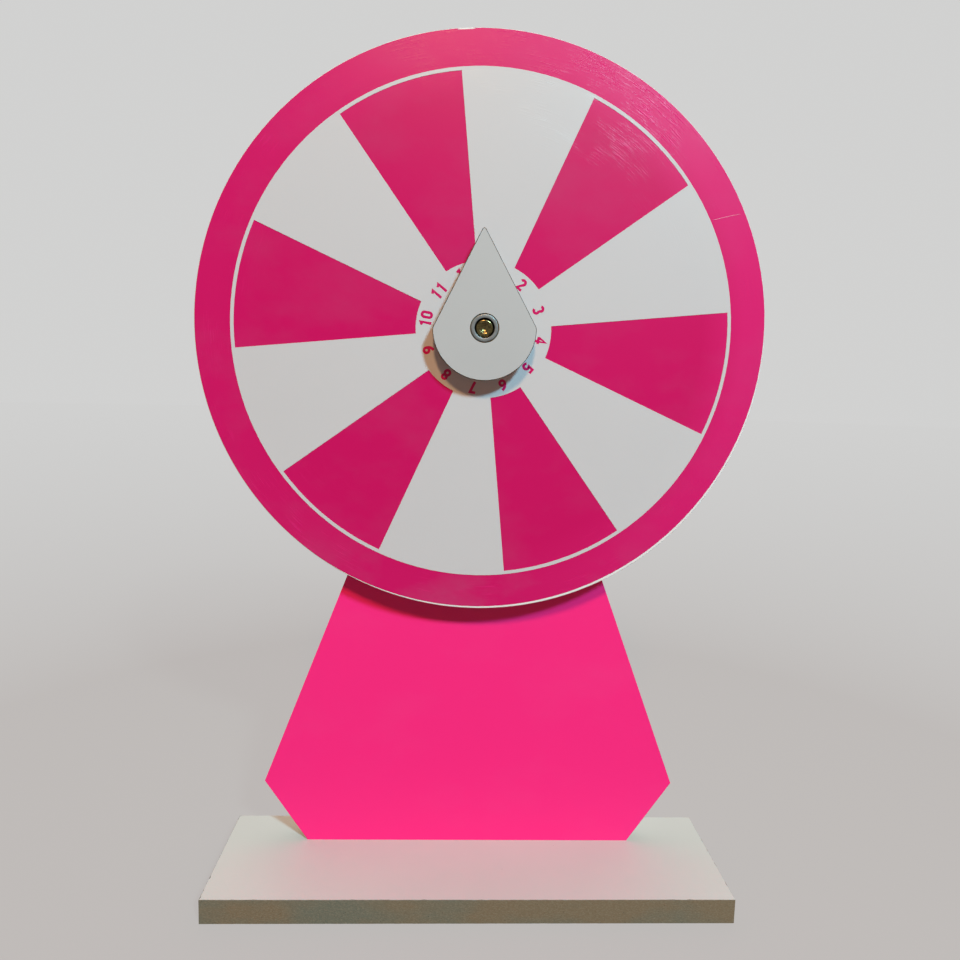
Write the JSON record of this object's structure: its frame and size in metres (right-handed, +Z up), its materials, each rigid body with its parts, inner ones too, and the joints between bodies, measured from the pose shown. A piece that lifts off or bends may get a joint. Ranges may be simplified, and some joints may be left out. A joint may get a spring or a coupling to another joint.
{
  "type": "table-top prize wheel",
  "caption": "Table-top game wheel: a disc of alternating coloured sectors spins on ball bearings in front of a stand board on a flat base, under a fixed teardrop pointer.",
  "frame": {"origin": "centre of the base board's underside", "axes": "+Z up; -Y is the front, where the pointer and the coloured face look; +X to the right as seen from the front"},
  "size_m": [0.3999, 0.107, 0.6135],
  "materials": {
    "white_board": "white melamine faces with raw grey-green fibreboard edges",
    "pointer_board": "pale grey melamine faces with raw dark edges",
    "magenta_film": "satin magenta vinyl film with faint smudges",
    "white_film": "satin white vinyl film",
    "pink_film": "satin hot pink vinyl film",
    "zinc_steel": "bright zinc plate",
    "yellow_zinc": "yellow passivated zinc, darkened by oil",
    "bearing_steel": "ground bearing steel",
    "nylon": "translucent white nylon"
  },
  "bodies": {
    "stand": {"base_board": "white_board", "base_screws": "zinc_steel", "stand_board": "white_board", "stand_film": "pink_film", "pointer_board": "pointer_board", "pointer_bush": "zinc_steel", "axle_screw": "yellow_zinc", "pointer_spacer": "zinc_steel", "front_inner_ring": "bearing_steel", "bearing_spacer": "zinc_steel", "rear_inner_ring": "bearing_steel", "stand_spacer": "zinc_steel", "nut_washer": "zinc_steel", "axle_nut": "zinc_steel", "nut_insert": "nylon"},
    "wheel": {"wheel_disc": "white_board", "face_film": "magenta_film", "sector_film": "white_film", "front_outer_ring": "bearing_steel", "front_shields": "bearing_steel", "rear_outer_ring": "bearing_steel", "rear_shields": "bearing_steel"},
    "front_ball_set": {"front_balls": "bearing_steel", "front_cage": "zinc_steel"},
    "rear_ball_set": {"rear_balls": "bearing_steel", "rear_cage": "zinc_steel"}
  },
  "joints": [
    {"name": "wheel_spin", "type": "hinge", "parent": "stand", "child": "wheel", "pos_m": [0, 0.0025, 0.4135], "axis": [0, -1, 0], "continuous": true},
    {"name": "front_balls_roll", "type": "hinge", "parent": "stand", "child": "front_ball_set", "pos_m": [0, -0.003, 0.4135], "axis": [0, -1, 0], "continuous": true},
    {"name": "rear_balls_roll", "type": "hinge", "parent": "stand", "child": "rear_ball_set", "pos_m": [0, 0.008, 0.4135], "axis": [0, -1, 0], "continuous": true}
  ],
  "couplings": [
    {"joint": "front_balls_roll", "follows": "wheel_spin", "ratio": 0.63233},
    {"joint": "rear_balls_roll", "follows": "wheel_spin", "ratio": 0.63233}
  ]
}
